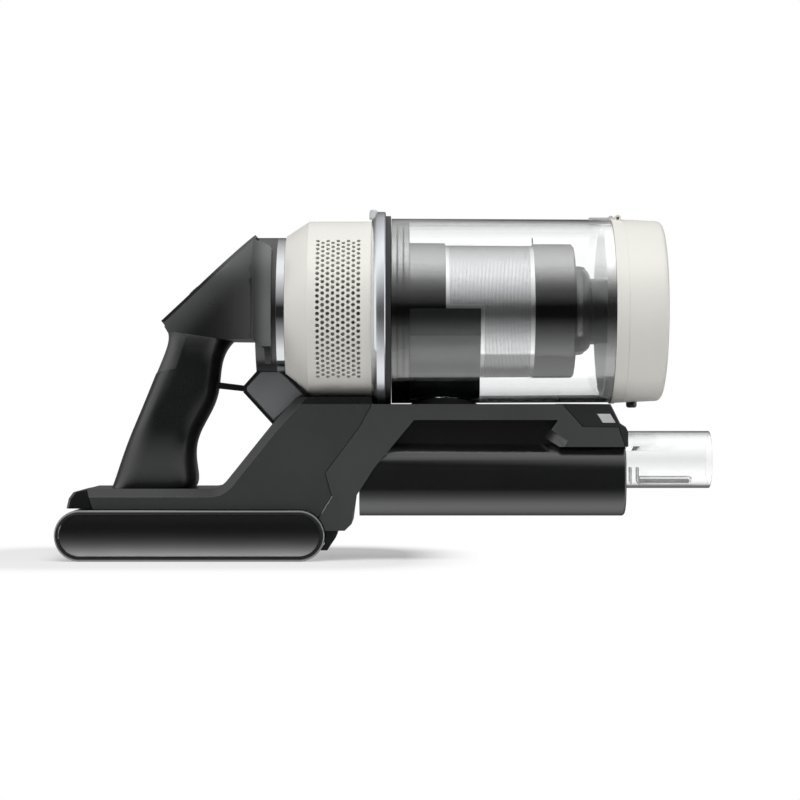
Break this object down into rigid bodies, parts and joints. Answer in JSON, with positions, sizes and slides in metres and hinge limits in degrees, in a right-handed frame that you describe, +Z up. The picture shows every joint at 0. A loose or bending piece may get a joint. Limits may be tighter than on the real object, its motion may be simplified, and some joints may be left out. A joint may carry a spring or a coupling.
{
  "type": "handheld vacuum",
  "caption": "Cordless handheld vacuum with a clear cyclone bin, hinged lid, perforated motor cover, looped grip, flat battery base and a clear intake spigot.",
  "frame": {"origin": "under the middle of the bounding box, on the surface that the battery stands on", "axes": "+X forward to the intake spigot, +Y to the user's left, +Z up"},
  "size_m": [0.4007, 0.1228, 0.2156],
  "materials": {
    "charcoal": "satin charcoal-black moulded plastic",
    "gunmetal": "satin gunmetal plastic",
    "black_plastic": "black moulded plastic",
    "black_gloss": "black gloss plastic",
    "battery_black": "satin black plastic",
    "ivory": "smooth ivory plastic, soft sheen",
    "silver": "silver metallic paint over plastic",
    "mirror_ring": "plated plastic, mirror-bright dark chrome",
    "clear": "clear polycarbonate",
    "frosted": "translucent plastic",
    "steel_mesh": "fine perforated steel",
    "steel": "plain steel",
    "rubber": "soft black rubber",
    "filter": "white felt and pleated filter paper",
    "motor_plastic": "glass-filled plastic",
    "alloy": "machined alloy",
    "board": "green circuit board",
    "brass": "plated contacts"
  },
  "bodies": {
    "chassis": {"rear_shell_left": "charcoal", "rear_shell_right": "charcoal", "neck_bracket": "gunmetal", "control_panel": "charcoal", "display_window": "black_gloss", "display_board": "board", "main_board": "board", "grip_pad": "rubber", "shell_screws": "steel", "duct_housing": "charcoal", "front_hood": "charcoal", "intake_pipe": "clear", "inlet_elbow": "black_plastic", "inlet_gasket": "rubber", "contact_rail": "black_plastic", "contact_pins": "brass", "rear_ring": "mirror_ring", "motor_cover": "ivory", "front_collar": "silver", "collar_seal": "rubber", "prefilter": "filter", "exhaust_filter": "filter", "motor_can": "motor_plastic", "motor_mount": "rubber", "motor_bulkhead": "motor_plastic", "stator": "steel", "bearings": "steel", "bearing_bridge": "motor_plastic", "battery_socket": "charcoal", "socket_blades": "brass"},
    "rotor": {"rotor_shaft": "steel", "impeller": "alloy"},
    "bin": {"bin_tube": "clear", "cyclone_base": "black_plastic", "cyclone_body": "gunmetal", "mesh_shroud": "steel_mesh", "cyclone_skirt": "black_plastic", "dust_cone": "black_plastic", "cyclone_cones": "black_plastic", "inlet_scoop": "black_plastic", "lid_hinge_bracket": "motor_plastic", "lid_hinge_pin": "steel"},
    "lid": {"bin_lid": "ivory", "lid_liner": "black_plastic", "lid_gasket": "rubber", "lid_stay": "black_plastic", "lid_spring": "steel"},
    "lid_catch": {"lid_release": "black_plastic"},
    "bin_catch": {"collar_latch": "frosted"},
    "power": {"power_button": "black_gloss"},
    "minus": {"minus_button": "black_gloss"},
    "plus": {"plus_button": "black_gloss"},
    "tool_catch_left": {"release_button_left": "silver"},
    "tool_catch_right": {"release_button_right": "silver"},
    "battery": {"battery_case": "battery_black", "battery_side_panels": "black_gloss", "battery_cells": "alloy", "battery_board": "board", "battery_contacts": "brass"},
    "battery_catch": {"battery_latch": "charcoal"}
  },
  "joints": [
    {"name": "rotor_spin", "type": "hinge", "parent": "chassis", "child": "rotor", "pos_m": [0, 0, 0.1528], "axis": [1, 0, 0], "continuous": true},
    {"name": "bin_slide", "type": "slide", "parent": "chassis", "child": "bin", "axis": [1, 0, 0], "range_m": [0, 0.17]},
    {"name": "lid_hinge", "type": "hinge", "parent": "bin", "child": "lid", "pos_m": [0.1424, 0, 0.2093], "axis": [0, -1, 0], "range_deg": [0, 100]},
    {"name": "lid_release_press", "type": "slide", "parent": "lid", "child": "lid_catch", "axis": [0, 0, 1], "range_m": [0, 0.0018], "stiffness_N_per_m": 1000, "deforming": ["lid_spring"]},
    {"name": "bin_catch_press", "type": "slide", "parent": "chassis", "child": "bin_catch", "axis": [0, 0, -1], "range_m": [0, 0.0012], "stiffness_N_per_m": 1000},
    {"name": "power_press", "type": "slide", "parent": "chassis", "child": "power", "axis": [0.6678, 0, -0.7443], "range_m": [0, 0.0008], "stiffness_N_per_m": 1200},
    {"name": "minus_press", "type": "slide", "parent": "chassis", "child": "minus", "axis": [0.6678, 0, -0.7443], "range_m": [0, 0.0008], "stiffness_N_per_m": 1200},
    {"name": "plus_press", "type": "slide", "parent": "chassis", "child": "plus", "axis": [0.6678, 0, -0.7443], "range_m": [0, 0.0008], "stiffness_N_per_m": 1200},
    {"name": "tool_release_left_press", "type": "slide", "parent": "chassis", "child": "tool_catch_left", "axis": [0, -1, 0], "range_m": [0, 0.002], "stiffness_N_per_m": 900},
    {"name": "tool_release_right_press", "type": "slide", "parent": "chassis", "child": "tool_catch_right", "axis": [0, 1, 0], "range_m": [0, 0.002], "stiffness_N_per_m": 900},
    {"name": "battery_slide", "type": "slide", "parent": "chassis", "child": "battery", "axis": [-1, 0, 0], "range_m": [0, 0.17]},
    {"name": "battery_catch_lift", "type": "slide", "parent": "chassis", "child": "battery_catch", "axis": [-0.3903, 0, 0.9207], "range_m": [0, 0.0024], "stiffness_N_per_m": 900}
  ]
}
